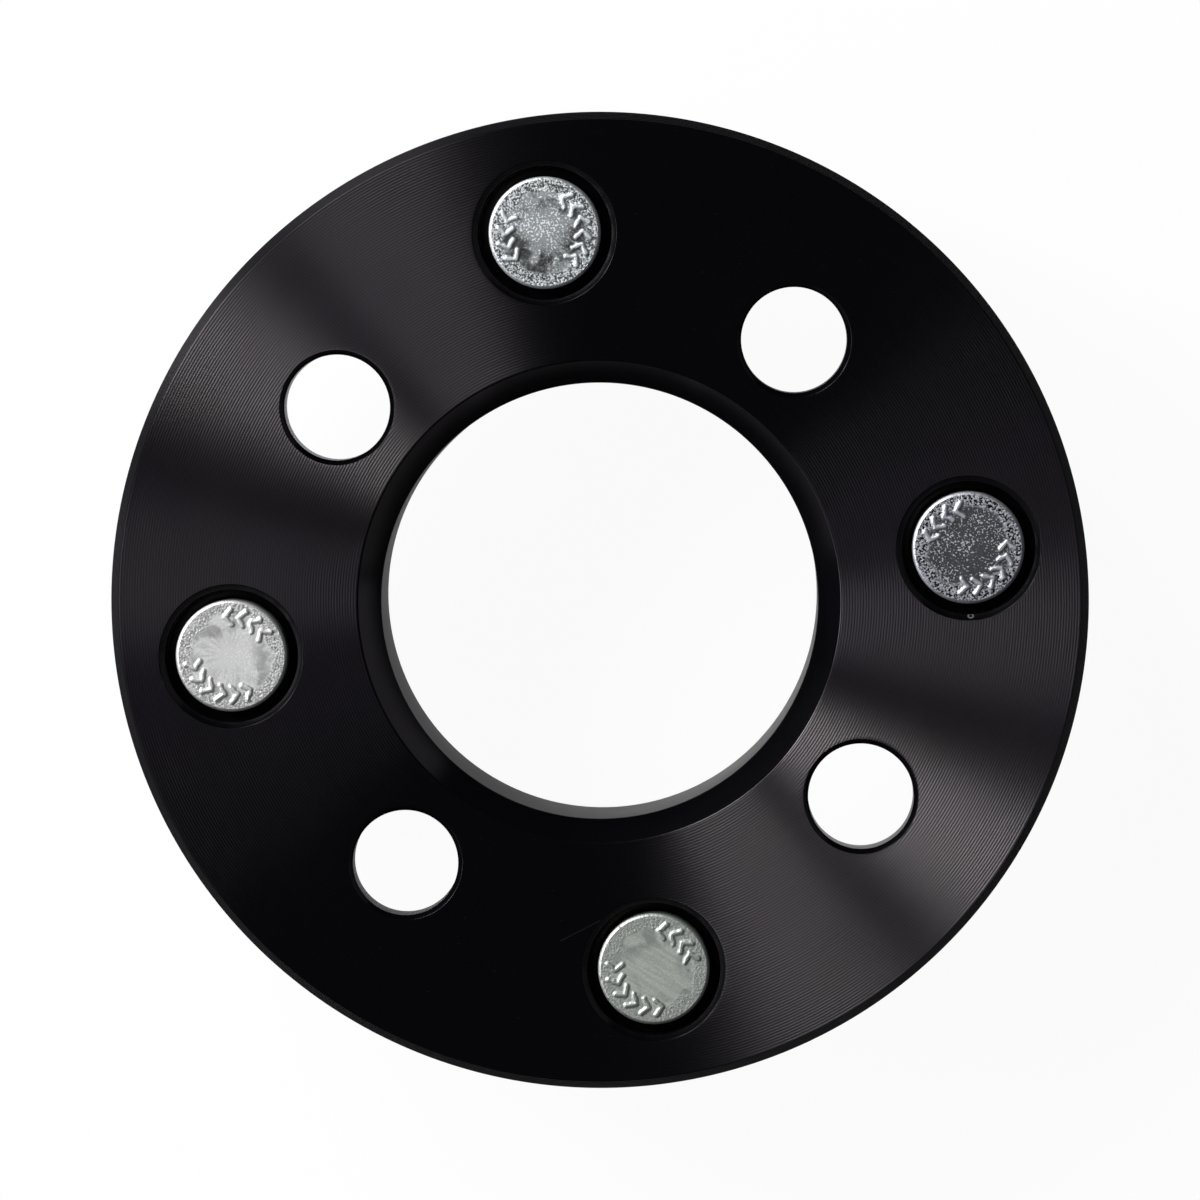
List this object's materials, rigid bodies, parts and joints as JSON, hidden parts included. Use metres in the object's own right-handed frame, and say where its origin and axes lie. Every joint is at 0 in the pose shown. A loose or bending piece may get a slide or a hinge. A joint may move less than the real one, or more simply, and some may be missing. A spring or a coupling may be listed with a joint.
{
  "type": "wheel spacer",
  "caption": "Round bolt-on wheel spacer: a thick black plate with a chamfered centre bore, lug holes for the hub's studs, and pressed-in wheel studs on a wider bolt circle.",
  "frame": {"origin": "on the plate's axis, at the level of the stud tips that the part stands on", "axes": "+Z along the plate's axis from the stud tips to the hub face, +X through the axis of one wheel stud"},
  "size_m": [0.15, 0.15, 0.052],
  "materials": {
    "black_anodised": "black anodised over fine face-turned rings",
    "zinc_plate": "bright zinc plate over a grainy forged head"
  },
  "bodies": {
    "root": {"spacer_plate": "black_anodised", "wheel_studs": "zinc_plate"}
  },
  "joints": []
}
